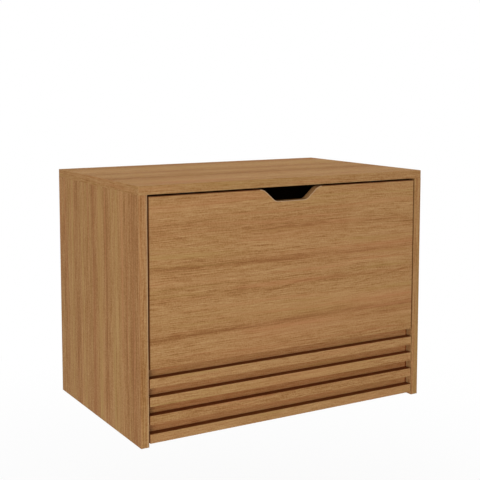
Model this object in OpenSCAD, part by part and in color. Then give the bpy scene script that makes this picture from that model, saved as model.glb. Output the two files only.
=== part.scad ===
// Kitchen wall cabinet with a drop-down front flap.
// Millimetres, +Z up, the front faces -Y. The origin is at the middle of the
// footprint, on the bottom edges of the two side panels.
// The boards are joined by cam fittings and dowels. The flap turns on a
// continuous hinge along its bottom edge. Two stay arms hold it level when it
// is open: each arm's shoe runs in a curved guide on the side panel.

/* [Cabinet] */
// Overall width
cabinet_w = 600; // [500:1:900]
// Overall depth
cabinet_d = 378; // [340:1:450]
// Overall height
cabinet_h = 446; // [400:1:600]
// Thickness of every board
board_t = 15; // [15:0.5:18]
// Thickness of the back panel
back_t = 3; // [2.5:0.5:5]
// Depth of the grooves that hold the back panel
groove_depth = 8; // [5:0.5:9]
// Height of the upper hanging rail
upper_rail_h = 80; // [70:1:120]
// Height of the lower hanging rail
lower_rail_h = 60; // [55:1:90]

/* [Front flap] */
// Gap between the flap and each side panel
flap_side_gap = 2; // [1.5:0.1:3]
// Gap between the flap and the top panel
flap_top_gap = 3; // [2:0.1:5]
// Height of the flap's bottom edge and of the base above the side panels' edges
bottom_rise = 6; // [6:0.5:10]
// Height of one slat
slat_h = 16; // [14:0.5:20]
// Height of the recess above each slat
slat_recess = 16; // [14:0.5:20]
// Height by which the back board laps behind the upper panel
lap_h = 32; // [26:0.5:34]

/* [Pull cut-out] */
// Width of the cut-out between its upper corners
pull_top_w = 118; // [100:1:160]
// Width of the cut-out between its lower corners
pull_bottom_w = 66; // [50:1:80]
// Depth of the cut-out below the flap's top edge
pull_depth = 23; // [18:0.5:30]
// Radius of the two upper corners
pull_shoulder_r = 22; // [10:1:30]
// Radius of the two lower corners
pull_corner_r = 16; // [6:1:18]

/* [Hinge] */
// Number of knuckles along the hinge
knuckle_count = 13; // [11:2:17]
// Outer diameter of the knuckles
knuckle_d = 5; // [4.4:0.1:5.2]
// Diameter of the hinge pin
hinge_pin_d = 2; // [1.8:0.1:2.4]
// Thickness of the hinge plates
hinge_plate_t = 0.9; // [0.7:0.05:1.1]
// Gap between the two folded hinge plates
hinge_fold_gap = 0.2; // [0.2:0.05:0.5]
// Gap between neighbouring knuckles
knuckle_gap = 0.3; // [0.2:0.05:0.6]

/* [Stays] */
// Gap between the back board and the foot of the stay bracket above it
bracket_seat_gap = 11; // [4:0.5:16]
// How far behind the hinge pin the shoe stops when the flap is open
slot_front = 20; // [18:0.5:26]
// Angle of the closed arm above the horizontal, going backwards
stay_angle = -15; // [-18:1:-12]
// Turn of the arm for each degree of the flap's turn, seen from the cabinet
stay_ratio = 0.53; // [0.51:0.01:0.56]
// Width of a stay arm
arm_w = 16; // [14:0.5:18]
// Thickness of a stay arm
arm_t = 2; // [1.5:0.1:2.5]
// Diameter of the shoe's neck
shoe_neck_d = 8; // [7:0.1:8.6]
// Diameter of the shoe's flange
shoe_flange_d = 12; // [11.4:0.1:13]
// Thickness of the curved guide
guide_t = 4.5; // [4.5:0.1:6]
// Thickness of the guide's lip over the shoe's flange
guide_lip_t = 1.5; // [1.2:0.1:1.8]
// Width of the curved guide
guide_w = 26; // [24:0.5:30]
// Thickness of the stay bracket
bracket_t = 2; // [1.5:0.1:2.5]
// Height of the bracket's foot on the flap
bracket_h = 32; // [30:1:36]

/* [Catches] */
// Distance from each side panel to the middle of its magnetic catch
catch_inset = 80; // [60:1:130]
// Width of the catch body between its ears
catch_w = 30; // [26:1:36]
// Height of the catch body
catch_h = 14; // [12:0.5:16]
// Depth of the catch body
catch_d = 16; // [14:0.5:20]
// Thickness of the strike plate
strike_t = 1.2; // [0.8:0.1:1.6]
// Gap between the strike plate and the catch
catch_gap = 0.3; // [0.2:0.1:0.5]

/* [Fittings] */
// Diameter of a cam disc
cam_d = 15; // [14:0.1:16]
// Distance from the board's end to the cam's centre
cam_reach = 34; // [30:0.5:36]
// Diameter of the cam bolt's shank
cam_bolt_d = 6; // [5:0.1:6.4]
// Diameter of a dowel
dowel_d = 8; // [6:0.1:8]
// Length of a dowel
dowel_l = 30; // [25:1:34]
// Spacing of the cam joints from the front and from the back
cam_setback = 85; // [80:1:95]
// Distance from a cam joint to its dowel
dowel_offset = 32; // [28:1:34]

/* [Wall fixing] */
// Distance from each side panel to the wall screw holes
wall_hole_inset = 55; // [55:1:90]
// Diameter of a wall screw hole
wall_hole_d = 6; // [5:0.1:8]

/* [Hidden] */

// Number of horizontal slats below the upper panel, one node each
slat_count = 4;
// Fine circles on bores and pins
$fn = 40;
// Overlap of a cutter past the face that it cuts
eps = 0.5;
// Radial clearance of a pin, screw or dowel in its hole
fit_gap = 0.05;
// Extra depth of a blind hole past what it holds
hole_spare = 1;
// Clearance of the back panel on each side in its groove
groove_gap = 0.1;
// Clearance between the hinge knuckles and the boards above them
knuckle_top_gap = 0.3;
// Clearance of the sliding shoe in its guide, on each side
shoe_gap = 0.15;
// Clearance of the shoe's flange in front and behind
flange_gap = 0.3;
// Clearance between a stay arm and the guide
arm_guide_gap = 0.5;
// Clearance between a stay arm and its bracket
arm_bracket_gap = 0.3;
// How far the back panel stops short of its groove's floor
groove_end_gap = 0.5;

wood = "#b08958";
steel = "#b9bbbd";
dark_steel = "#6e6f72";
white_plastic = "#e6e4de";
brown_plastic = "#8a6b4a";
hardboard = "#c8a67a";
beech = "#d9bd8c";

x_out = cabinet_w / 2;
x_in = x_out - board_t;
y_front = -cabinet_d / 2;
y_back = cabinet_d / 2;
top_z = cabinet_h - board_t;

// The flap: upper panel and slats in front, back board behind
flap_w = 2 * (x_in - flap_side_gap);
flap_top_z = top_z - flap_top_gap;
slat_pitch = slat_h + slat_recess;
panel_z = bottom_rise + slat_count * slat_pitch;
back_board_h = slat_count * slat_pitch + lap_h;
panel_rear_y = y_front + board_t;
board_rear_y = y_front + 2 * board_t;

// The hinge: two plates folded between the flap and the base's front edge
axis_y = board_rear_y + hinge_plate_t + hinge_fold_gap / 2;
axis_z = bottom_rise - knuckle_top_gap - knuckle_d / 2;
base_front_y = axis_y + hinge_fold_gap / 2 + hinge_plate_t;
knuckle_pitch = flap_w / knuckle_count;
hinge_plate_drop = 0.5;
hinge_plate_h = board_t - hinge_plate_drop;
hinge_screw_z = bottom_rise + board_t / 2;
base_knuckles = [0 : 2 : knuckle_count - 1];
flap_knuckles = [1 : 2 : knuckle_count - 2];

// The back: rails behind the back panel, the base in front of it
rail_y = y_back - board_t;
groove_w = back_t + 2 * groove_gap;
groove_y = rail_y - groove_w;
base_d = groove_y - base_front_y;
upper_rail_z = top_z - upper_rail_h;
upper_rail_mid = upper_rail_z + upper_rail_h / 2;
lower_rail_mid = bottom_rise + lower_rail_h / 2;
base_mid_z = bottom_rise + board_t / 2;
wall_hole_zs = [upper_rail_mid, lower_rail_mid];
wall_hole_x = x_in - wall_hole_inset;

// Cam joints along the depth
cam_ys = [y_front + cam_setback, y_back - cam_setback];
dowel_ys = [y_front + cam_setback + dowel_offset, y_back - cam_setback - dowel_offset];
cam_past_middle = 5;
cam_deep = board_t / 2 + cam_past_middle;
cam_gap = 0.1;
cam_throat_gap = 0.4;
cam_slot = [3, 1.4, 8];
cam_bolt_thread = 10;
cam_bolt_step = 2;
cam_bolt_neck_d = cam_bolt_d - cam_bolt_step;
cam_bolt_bore_d = cam_bolt_d + cam_bolt_step;
cam_bolt_neck = 5;
cam_bolt_head = 3;
cam_bolt_collar = 2;
cover_rim = 1;
cover_t = 1.2;
dowel_in_face = 10;
rail_dowel_rise = 20;

// The stay: the pivot's height above the hinge pin and the arm's length between
// its rivets, so that the open flap's shoe stops at the slot's front end
stay_turn = 90;
stay_rise = bottom_rise + back_board_h + bracket_seat_gap + bracket_h / 2 - axis_z;
stay_length = (stay_rise + slot_front) / cos(arm_angle(stay_turn));

// Stay layers, counted inwards from the side panel's face
arm_x = x_in - guide_t - arm_guide_gap;
ear_x = arm_x - arm_t - arm_bracket_gap;
guide_steps = 45;
end_steps = 8;
end_trim = 10;
heading_step = 1;
slot_half = shoe_neck_d / 2 + shoe_gap;
recess_half = shoe_flange_d / 2 + shoe_gap;
recess_t = guide_t - guide_lip_t;
flange_t = recess_t - 2 * flange_gap;
lug_r = 8;
lug_offset = guide_w / 2 + lug_r / 2;
lug_turns = [12, 45, 78];
rivet_d = 4;
rivet_head_d = 7.6;
rivet_head_t = 1.2;
inner_head_d = 6.4;
inner_head_t = 0.9;
pivot_rivet_d = 5;
pivot_head_d = 9;
pivot_head_t = 1.2;
ear_r = 8;
foot_w = 24;
foot_screw_edge = 6;

// Screws: cross recess and point as shares of the head and the shank
cross_length = 0.6;
cross_width = 0.24;
point_width = 0.25;

// Screws: shank and head diameters and lengths
small_screw_d = 2.8;
small_head_d = 5.2;
board_screw_d = 3.5;
board_head_d = 7;
hinge_screw_l = 13;
slat_screw_l = 26;
bracket_screw_l = 12;
guide_screw_l = 14;
catch_screw_l = 13;
strike_screw_l = 11;
nail_d = 1.6;
nail_head_d = 4.5;
nail_head_t = 0.8;
nail_l = 14;
nail_count = 6;
nail_inset = 135;
nail_pitch = 2 * (x_in - nail_inset) / (nail_count - 1);

// Catch: magnet block in a housing with two screw ears
catch_x = x_in - catch_inset;
catch_y = panel_rear_y + strike_t + catch_gap;
ear_w = 10;
ear_inset = 2;
catch_ear_t = 3;
magnet_wall = 2;
magnet_gap = 0.1;
strike_margin = 2;
strike_w = catch_w - 2 * strike_margin;
strike_drop = 1;
strike_h = catch_h - strike_drop;
strike_screw_edge = 6;

// Screws of one slat, a whole number of hinge knuckles apart
slat_screw_count = 4;
slat_screw_knuckles = 3;
slat_screw_xs = [for (k = [0 : slat_screw_count - 1])
    (k - (slat_screw_count - 1) / 2) * slat_screw_knuckles * knuckle_pitch];

function arc_points(cx, cy, r, from, to, steps = 10) =
    [for (i = [0 : steps]) let (a = from + (to - from) * i / steps)
        [cx + r * cos(a), cy + r * sin(a)]];

function reversed(list) = [for (i = [len(list) - 1 : -1 : 0]) list[i]];

function mirrored(list) = [for (p = reversed(list)) [-p[0], p[1]]];

// The arm's angle, and the shoe's place from the hinge pin, at one turn of the flap
function arm_angle(turn) = stay_angle + stay_ratio * turn;

function shoe_place(turn) = [
    -stay_rise * sin(turn) + stay_length * cos(arm_angle(turn)),
    stay_rise * cos(turn) + stay_length * sin(arm_angle(turn))
];

function slot_heading(turn) =
    let (step = shoe_place(turn + heading_step / 2) - shoe_place(turn - heading_step / 2))
    atan2(step[1], step[0]);

// A point beside the shoe's path, offset to the left of its heading
function beside_path(turn, offset) =
    shoe_place(turn) + offset * [-sin(slot_heading(turn)), cos(slot_heading(turn))];

// Outline of a strip along the shoe's path, with round ends
function path_strip(half) =
    let (
        head0 = slot_heading(0),
        head1 = slot_heading(stay_turn),
        arc_half = 90 - end_trim,
        turns = [for (i = [0 : guide_steps]) stay_turn * i / guide_steps],
        near = shoe_place(0),
        far = shoe_place(stay_turn)
    )
    concat(
        [for (t = turns) beside_path(t, half)],
        arc_points(far[0], far[1], half, head1 + arc_half, head1 - arc_half, end_steps),
        [for (t = reversed(turns)) beside_path(t, -half)],
        arc_points(near[0], near[1], half, head0 - 180 + arc_half, head0 - 180 - arc_half, end_steps)
    );

// Solids along the axes

module rod_x(d, l) rotate([0, 90, 0]) cylinder(d = d, h = l);

module rod_y(d, l) rotate([-90, 0, 0]) cylinder(d = d, h = l);

module rod_z(d, l) cylinder(d = d, h = l);

// A box from its lowest corner to its highest one
module span(low, high) translate(low) cube(high - low);

// Draws for the right side, or mirrored for the left one
module on_side(side) {
    if (side < 0) mirror([1, 0, 0]) children();
    else children();
}

module on_both_sides() {
    children();
    mirror([1, 0, 0]) children();
}

// A flat outline in Y and Z from the hinge pin, extruded inwards from x
module side_plate(x, t)
    translate([x - t, axis_y, axis_z]) rotate([90, 0, 90]) linear_extrude(t) children();

// A countersunk screw that points along +Z, with its head flush at z = 0
module screw(d, head_d, l) {
    head_h = (head_d - d) / 2;
    tip = d;
    difference() {
        union() {
            cylinder(d1 = head_d, d2 = d, h = head_h);
            cylinder(d = d, h = l - tip);
            translate([0, 0, l - tip]) cylinder(d1 = d, d2 = d * point_width, h = tip);
        }
        for (a = [0, 90]) rotate(a)
            cube([head_d * cross_length, d * cross_width, 2 * head_h], center = true);
    }
}

// The hole for such a screw
module screw_hole(d, head_d, l) {
    head_h = (head_d - d) / 2;
    translate([0, 0, -eps]) cylinder(d = head_d + 2 * fit_gap, h = eps);
    cylinder(d1 = head_d + 2 * fit_gap, d2 = d + 2 * fit_gap, h = head_h);
    cylinder(d = d + 2 * fit_gap, h = l + hole_spare);
}

// Cam joint. Its local frame has the joint face at z = 0, the bored board
// towards +Z, the mating board towards -Z and the cam's open face towards +X.

module cam_thread_hole()
    translate([0, 0, -cam_bolt_thread - hole_spare])
        cylinder(d = cam_bolt_d + 2 * fit_gap, h = cam_bolt_thread + hole_spare + eps);

module cam_board_holes() {
    translate([0, 0, -eps]) cylinder(d = cam_bolt_bore_d, h = cam_reach + eps);
    translate([board_t / 2 - cam_deep, 0, cam_reach]) rod_x(cam_d + 2 * cam_gap, cam_deep + eps);
}

module cam_bolt() {
    neck_z = cam_reach - cam_bolt_neck;
    translate([0, 0, -cam_bolt_thread]) cylinder(d = cam_bolt_d, h = cam_bolt_thread + neck_z);
    cylinder(d = cam_bolt_bore_d - 2 * fit_gap, h = cam_bolt_collar);
    translate([0, 0, neck_z]) cylinder(d = cam_bolt_neck_d, h = cam_bolt_neck);
    translate([0, 0, cam_reach - cam_bolt_head / 2])
        cylinder(d = cam_bolt_d, h = cam_bolt_head);
}

module cam_disc() {
    throat = cam_bolt_bore_d + cam_throat_gap;
    difference() {
        translate([board_t / 2 - cam_deep + cam_gap, 0, cam_reach])
            rod_x(cam_d, cam_deep - 2 * cam_gap);
        translate([-throat / 2, -throat / 2, 0])
            cube([throat, throat, cam_reach + cam_bolt_head]);
        for (a = [0, 90]) translate([board_t / 2, 0, cam_reach]) rotate([a, 0, 0])
            cube(cam_slot, center = true);
    }
}

module cam_cover() {
    translate([board_t / 2, 0, cam_reach]) rod_x(cam_d + 2 * cover_rim, cover_t);
}

module dowel() {
    translate([0, 0, -dowel_in_face]) cylinder(d = dowel_d, h = dowel_l);
}

module dowel_hole() {
    translate([0, 0, -dowel_in_face - fit_gap])
        cylinder(d = dowel_d + 2 * fit_gap, h = dowel_l + 2 * fit_gap);
}

// Places of the joints of one side

module at_top_joints(ys) for (y = ys)
    translate([x_out - board_t / 2, y, top_z]) rotate([0, 180, 0]) children();

module at_base_joints(ys) for (y = ys)
    translate([x_in, y, base_mid_z]) rotate([0, -90, 0]) rotate([0, 0, 180]) children();

module at_rail_joints(rise = 0) for (z = wall_hole_zs)
    translate([x_in, rail_y + board_t / 2, z + rise])
        rotate([0, -90, 0]) rotate([0, 0, 90]) children();

// What the side panel's face carries for the stay

module at_guide_screws() for (t = lug_turns) {
    place = beside_path(t, lug_offset);
    translate([x_in - guide_t, axis_y + place[0], axis_z + place[1]])
        rotate([0, 90, 0]) children();
}

// Boards of the carcass

module top_panel() color(wood) difference() {
    span([-x_out, y_front, top_z], [x_out, y_back, cabinet_h]);
    span([-x_in - groove_depth, groove_y, top_z - eps], [x_in + groove_depth, rail_y, top_z + groove_depth]);
    on_both_sides() {
        at_top_joints(cam_ys) cam_thread_hole();
        at_top_joints(dowel_ys) dowel_hole();
    }
    at_catch_screws() screw_pilot(catch_screw_l);
}

module side_panel(side) color(wood) on_side(side) difference() {
    span([x_in, y_front, 0], [x_out, y_back, top_z]);
    span([x_in - eps, groove_y, -eps], [x_in + groove_depth, rail_y, top_z + eps]);
    at_top_joints(cam_ys) cam_board_holes();
    at_top_joints(dowel_ys) dowel_hole();
    at_base_joints(cam_ys) cam_thread_hole();
    at_base_joints(dowel_ys) dowel_hole();
    at_rail_joints() cam_thread_hole();
    at_rail_joints(rail_dowel_rise) dowel_hole();
    at_guide_screws() screw_hole(board_screw_d, board_head_d, guide_screw_l);
}

module base_panel() color(wood) difference() {
    span([-x_in, base_front_y, bottom_rise], [x_in, base_front_y + base_d, bottom_rise + board_t]);
    on_both_sides() {
        at_base_joints(cam_ys) cam_board_holes();
        at_base_joints(dowel_ys) dowel_hole();
    }
    at_hinge_screws(base_knuckles, 1) screw_hole(small_screw_d, small_head_d, hinge_screw_l);
}

module back_panel() color(hardboard) difference() {
    reach = groove_depth - groove_end_gap;
    span([-x_in - reach, groove_y + groove_gap, bottom_rise],
        [x_in + reach, rail_y - groove_gap, top_z + reach]);
    at_wall_holes() rod_y(wall_hole_d, cabinet_d);
    at_nails() rod_y(nail_d + 2 * fit_gap, cabinet_d);
}

module at_wall_holes() for (x = [-1, 1], z = wall_hole_zs)
    translate([x * wall_hole_x, 0, z]) children();

// Nails through the back panel into the rails, with their heads inside
module at_nails() for (i = [0 : nail_count - 1], z = wall_hole_zs)
    translate([(i - (nail_count - 1) / 2) * nail_pitch, groove_y + groove_gap, z]) children();

module hanging_rail(low, high) color(wood) difference() {
    span([-x_in, rail_y, low], [x_in, y_back, high]);
    on_both_sides() {
        at_rail_joints() cam_board_holes();
        at_rail_joints(rail_dowel_rise) dowel_hole();
    }
    at_wall_holes() rod_y(wall_hole_d, cabinet_d);
    at_nails() rod_y(nail_d + 2 * fit_gap, nail_l + hole_spare);
}

module hanging_rail_upper() hanging_rail(upper_rail_z, top_z);

module hanging_rail_lower() hanging_rail(bottom_rise, bottom_rise + lower_rail_h);

// Fittings of the carcass

module top_cam_discs() color(dark_steel) on_both_sides() at_top_joints(cam_ys) cam_disc();

module base_cam_discs() color(dark_steel) on_both_sides() at_base_joints(cam_ys) cam_disc();

module rail_cam_discs() color(dark_steel) on_both_sides() at_rail_joints() cam_disc();

module top_cam_bolts() color(steel) on_both_sides() at_top_joints(cam_ys) cam_bolt();

module base_cam_bolts() color(steel) on_both_sides() at_base_joints(cam_ys) cam_bolt();

module rail_cam_bolts() color(steel) on_both_sides() at_rail_joints() cam_bolt();

module top_dowels() color(beech) on_both_sides() at_top_joints(dowel_ys) dowel();

module base_dowels() color(beech) on_both_sides() at_base_joints(dowel_ys) dowel();

module rail_dowels() color(beech) on_both_sides() at_rail_joints(rail_dowel_rise) dowel();

module cam_covers() color(brown_plastic) on_both_sides() at_top_joints(cam_ys) cam_cover();

module back_panel_nails() color(steel) at_nails() {
    rod_y(nail_d, nail_l);
    translate([0, -nail_head_t, 0]) rod_y(nail_head_d, nail_head_t);
}

// The flap

// Outline of the upper panel in X and Z, with the pull cut-out in its top edge
function panel_outline() =
    let (
        slope = atan2(pull_depth, (pull_top_w - pull_bottom_w) / 2),
        shoulder_x = pull_top_w / 2 + pull_shoulder_r * tan(slope / 2),
        corner_x = pull_bottom_w / 2 - pull_corner_r * tan(slope / 2),
        floor_z = flap_top_z - pull_depth,
        right_half = concat(
            arc_points(shoulder_x, flap_top_z - pull_shoulder_r, pull_shoulder_r, 90, 90 + slope),
            arc_points(corner_x, floor_z + pull_corner_r, pull_corner_r, slope - 90, -90)
        )
    )
    concat(
        [[-flap_w / 2, panel_z], [flap_w / 2, panel_z], [flap_w / 2, flap_top_z]],
        right_half,
        mirrored(right_half),
        [[-flap_w / 2, flap_top_z]]
    );

module flap_panel() color(wood) difference() {
    translate([0, panel_rear_y, 0]) rotate([90, 0, 0])
        linear_extrude(board_t) polygon(panel_outline());
    at_lap_screws() screw_hole(board_screw_d, board_head_d, slat_screw_l);
    on_both_sides() {
        at_bracket_screws() screw_pilot(bracket_screw_l);
        at_strike_screws() screw_pilot(strike_screw_l);
    }
}

module flap_back_board() color(wood) difference() {
    span([-flap_w / 2, panel_rear_y, bottom_rise], [flap_w / 2, board_rear_y, bottom_rise + back_board_h]);
    at_hinge_screws(flap_knuckles, -1) screw_hole(small_screw_d, small_head_d, hinge_screw_l);
    for (i = [0 : slat_count - 1]) at_slat_screws(i)
        screw_hole(board_screw_d, board_head_d, slat_screw_l);
    at_lap_screws() screw_hole(board_screw_d, board_head_d, slat_screw_l);
}

module flap_slat(i) color(wood) difference() {
    span([-flap_w / 2, y_front, bottom_rise + i * slat_pitch],
        [flap_w / 2, panel_rear_y, bottom_rise + i * slat_pitch + slat_h]);
    at_slat_screws(i) screw_hole(board_screw_d, board_head_d, slat_screw_l);
}

// Screws from the back board's rear face into slat number i
module at_slat_screws(i) for (x = slat_screw_xs)
    translate([x, board_rear_y, bottom_rise + i * slat_pitch + slat_h / 2])
        rotate([90, 0, 0]) children();

module at_lap_screws() for (x = slat_screw_xs)
    translate([x, board_rear_y, panel_z + lap_h / 2]) rotate([90, 0, 0]) children();

module slat_screws() color(steel) for (i = [0 : slat_count - 1]) at_slat_screws(i)
    screw(board_screw_d, board_head_d, slat_screw_l);

module flap_panel_screws() color(steel) at_lap_screws()
    screw(board_screw_d, board_head_d, slat_screw_l);

// The continuous hinge

module at_knuckles(which) for (i = which)
    translate([-flap_w / 2 + i * knuckle_pitch + knuckle_gap / 2, axis_y, axis_z]) children();

// Screws at the middle of each knuckle: side 1 goes into the base, -1 into the flap
module at_hinge_screws(which, side) for (i = which)
    translate([-flap_w / 2 + (i + 0.5) * knuckle_pitch, axis_y + side * hinge_fold_gap / 2, hinge_screw_z])
        rotate([-90 * side, 0, 0]) children();

// One hinge plate with its knuckles; side 1 is the base's plate, -1 the flap's
module hinge_leaf(which, side) difference() {
    knuckle_l = knuckle_pitch - knuckle_gap;
    plate_y = side > 0 ? hinge_fold_gap / 2 : -hinge_fold_gap / 2 - hinge_plate_t;
    union() {
        translate([-flap_w / 2, axis_y + plate_y, bottom_rise])
            cube([flap_w, hinge_plate_t, hinge_plate_h]);
        at_knuckles(which) {
            rod_x(knuckle_d, knuckle_l);
            translate([0, plate_y, 0]) cube([knuckle_l, hinge_plate_t, bottom_rise - axis_z]);
        }
    }
    translate([-x_out, axis_y, axis_z]) rod_x(hinge_pin_d + 2 * fit_gap, cabinet_w);
    at_hinge_screws(which, side) screw_hole(small_screw_d, small_head_d, hinge_screw_l);
}

module hinge_base_leaf() color(steel) hinge_leaf(base_knuckles, 1);

module hinge_flap_leaf() color(steel) hinge_leaf(flap_knuckles, -1);

module hinge_pin() color(steel)
    translate([-flap_w / 2, axis_y, axis_z]) rod_x(hinge_pin_d, flap_w);

module hinge_base_screws() color(steel) at_hinge_screws(base_knuckles, 1)
    screw(small_screw_d, small_head_d, hinge_screw_l);

module hinge_flap_screws() color(steel) at_hinge_screws(flap_knuckles, -1)
    screw(small_screw_d, small_head_d, hinge_screw_l);

// The stays

module stay_guide(side) color(steel) on_side(side) difference() {
    union() {
        side_plate(x_in, guide_t) polygon(path_strip(guide_w / 2));
        at_guide_screws() rod_z(2 * lug_r, guide_t);
    }
    side_plate(x_in + eps, guide_t + 2 * eps) polygon(path_strip(slot_half));
    side_plate(x_in + eps, recess_t + eps) polygon(path_strip(recess_half));
    at_guide_screws() screw_hole(board_screw_d, board_head_d, guide_screw_l);
}

module guide_screws(side) color(steel) on_side(side) at_guide_screws()
    screw(board_screw_d, board_head_d, guide_screw_l);

// Moves from the hinge pin to the arm's pivot and lays +X along the arm
module on_arm() translate([0, stay_rise]) rotate(stay_angle) children();

module stay_arm(side) color(steel) on_side(side) difference() {
    side_plate(arm_x, arm_t) on_arm() polygon(concat(
        arc_points(0, 0, arm_w / 2, 90, 270),
        arc_points(stay_length, 0, arm_w / 2, -90, 90)
    ));
    at_pivot(arm_x + eps) rod_x(pivot_rivet_d + 2 * fit_gap, arm_t + 2 * eps);
    at_shoe(arm_x + eps) rod_x(rivet_d + 2 * fit_gap, arm_t + 2 * eps);
}

// Rivet axes, from x inwards
module at_pivot(x) translate([x, axis_y, axis_z + stay_rise]) mirror([1, 0, 0]) children();

module at_shoe(x) {
    place = shoe_place(0);
    translate([x, axis_y + place[0], axis_z + place[1]]) mirror([1, 0, 0]) children();
}

module slide_shoe(side) color(white_plastic) on_side(side) difference() {
    union() {
        at_shoe(x_in - flange_gap) rod_x(shoe_flange_d, flange_t);
        at_shoe(x_in - flange_gap) rod_x(shoe_neck_d, x_in - flange_gap - arm_x);
    }
    at_shoe(x_in) rod_x(rivet_d + 2 * fit_gap, x_in - arm_x + eps);
    at_shoe(x_in) rod_x(inner_head_d + 2 * fit_gap, flange_gap + inner_head_t);
}

module shoe_rivet(side) color(dark_steel) on_side(side) {
    at_shoe(x_in - flange_gap) rod_x(inner_head_d, inner_head_t);
    at_shoe(x_in - flange_gap) rod_x(rivet_d, x_in - flange_gap - arm_x + arm_t);
    at_shoe(arm_x - arm_t) rod_x(rivet_head_d, rivet_head_t);
}

module stay_bracket(side) color(steel) on_side(side) difference() {
    pivot_z = axis_z + stay_rise;
    union() {
        span([ear_x - foot_w, panel_rear_y, pivot_z - bracket_h / 2],
            [ear_x, panel_rear_y + bracket_t, pivot_z + bracket_h / 2]);
        span([ear_x - bracket_t, panel_rear_y, pivot_z - ear_r], [ear_x, axis_y, pivot_z + ear_r]);
        at_pivot(ear_x) rod_x(2 * ear_r, bracket_t);
    }
    at_pivot(ear_x + eps) rod_x(pivot_rivet_d + 2 * fit_gap, bracket_t + 2 * eps);
    at_bracket_screws() screw_hole(board_screw_d, board_head_d, bracket_screw_l);
}

module at_bracket_screws() for (z = [-1, 1])
    translate([ear_x - foot_w / 2 - bracket_t / 2, panel_rear_y + bracket_t,
            axis_z + stay_rise + z * (bracket_h / 2 - foot_screw_edge)])
        rotate([90, 0, 0]) children();

module bracket_screws(side) color(steel) on_side(side) at_bracket_screws()
    screw(board_screw_d, board_head_d, bracket_screw_l);

module bracket_rivet(side) color(dark_steel) on_side(side) {
    head_x = arm_x + fit_gap;
    inner_x = ear_x - bracket_t;
    at_pivot(head_x + pivot_head_t) rod_x(pivot_head_d, pivot_head_t);
    at_pivot(head_x) rod_x(pivot_rivet_d, head_x - inner_x);
    at_pivot(inner_x) rod_x(pivot_head_d, pivot_head_t);
}

// The magnetic catches

module at_catch_screws() on_both_sides() for (x = [-1, 1])
    translate([catch_x + x * (catch_w + ear_w) / 2, catch_y + catch_d / 2, top_z - catch_ear_t])
        children();

module screw_pilot(l) screw_hole(board_screw_d, board_head_d, l);

module catch_housing(side) color(brown_plastic) difference() {
    on_side(side) difference() {
        union() {
            span([catch_x - catch_w / 2, catch_y, top_z - catch_h],
                [catch_x + catch_w / 2, catch_y + catch_d, top_z]);
            span([catch_x - catch_w / 2 - ear_w, catch_y + ear_inset, top_z - catch_ear_t],
                [catch_x + catch_w / 2 + ear_w, catch_y + catch_d - ear_inset, top_z]);
        }
        span([catch_x - catch_w / 2 + magnet_wall, catch_y - eps, top_z - catch_h + magnet_wall],
            [catch_x + catch_w / 2 - magnet_wall, catch_y + catch_d - magnet_wall, top_z - magnet_wall]);
    }
    at_catch_screws() screw_pilot(catch_screw_l);
}

module catch_magnet(side) color(dark_steel) on_side(side) {
    inset = magnet_wall + magnet_gap;
    span([catch_x - catch_w / 2 + inset, catch_y, top_z - catch_h + inset],
        [catch_x + catch_w / 2 - inset, catch_y + catch_d - inset, top_z - inset]);
}

module catch_screws() color(steel) at_catch_screws()
    screw(board_screw_d, board_head_d, catch_screw_l);

module strike_plate(side) color(steel) on_side(side) difference() {
    span([catch_x - strike_w / 2, panel_rear_y, flap_top_z - strike_drop - strike_h],
        [catch_x + strike_w / 2, panel_rear_y + strike_t, flap_top_z - strike_drop]);
    at_strike_screws() screw_pilot(strike_screw_l);
}

module at_strike_screws() for (x = [-1, 1])
    translate([catch_x + x * (strike_w / 2 - strike_screw_edge), panel_rear_y + strike_t,
            flap_top_z - strike_drop - strike_h / 2])
        rotate([90, 0, 0]) children();

module strike_screws() color(steel) on_both_sides() at_strike_screws()
    screw(board_screw_d, board_head_d, strike_screw_l);

top_panel();
side_panel(-1);  // side_panel_left
side_panel(1);  // side_panel_right
base_panel();
back_panel();
hanging_rail_upper();
hanging_rail_lower();
top_cam_discs();
base_cam_discs();
rail_cam_discs();
top_cam_bolts();
base_cam_bolts();
rail_cam_bolts();
top_dowels();
base_dowels();
rail_dowels();
cam_covers();
back_panel_nails();
flap_panel();
flap_back_board();
flap_slat(0);  // flap_slat_1
flap_slat(1);  // flap_slat_2
flap_slat(2);  // flap_slat_3
flap_slat(3);  // flap_slat_4
slat_screws();
flap_panel_screws();
hinge_base_leaf();
hinge_flap_leaf();
hinge_pin();
hinge_base_screws();
hinge_flap_screws();
stay_guide(-1);  // stay_guide_left
stay_guide(1);  // stay_guide_right
guide_screws(-1);  // guide_screws_left
guide_screws(1);  // guide_screws_right
stay_arm(-1);  // stay_arm_left
stay_arm(1);  // stay_arm_right
slide_shoe(-1);  // slide_shoe_left
slide_shoe(1);  // slide_shoe_right
shoe_rivet(-1);  // shoe_rivet_left
shoe_rivet(1);  // shoe_rivet_right
stay_bracket(-1);  // stay_bracket_left
stay_bracket(1);  // stay_bracket_right
bracket_screws(-1);  // bracket_screws_left
bracket_screws(1);  // bracket_screws_right
bracket_rivet(-1);  // bracket_rivet_left
bracket_rivet(1);  // bracket_rivet_right
catch_housing(-1);  // catch_housing_left
catch_housing(1);  // catch_housing_right
catch_magnet(-1);  // catch_magnet_left
catch_magnet(1);  // catch_magnet_right
catch_screws();
strike_plate(-1);  // strike_plate_left
strike_plate(1);  // strike_plate_right
strike_screws();
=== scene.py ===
"""Kitchen wall cabinet with a drop-down flap: the looks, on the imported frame.

Lengths are metres in the row frame: X to the right, Y to the rear, Z upwards.
"""
import logging
import math
from dataclasses import dataclass
from enum import Enum
from functools import cache
from typing import Any, Iterable, Sequence

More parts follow.
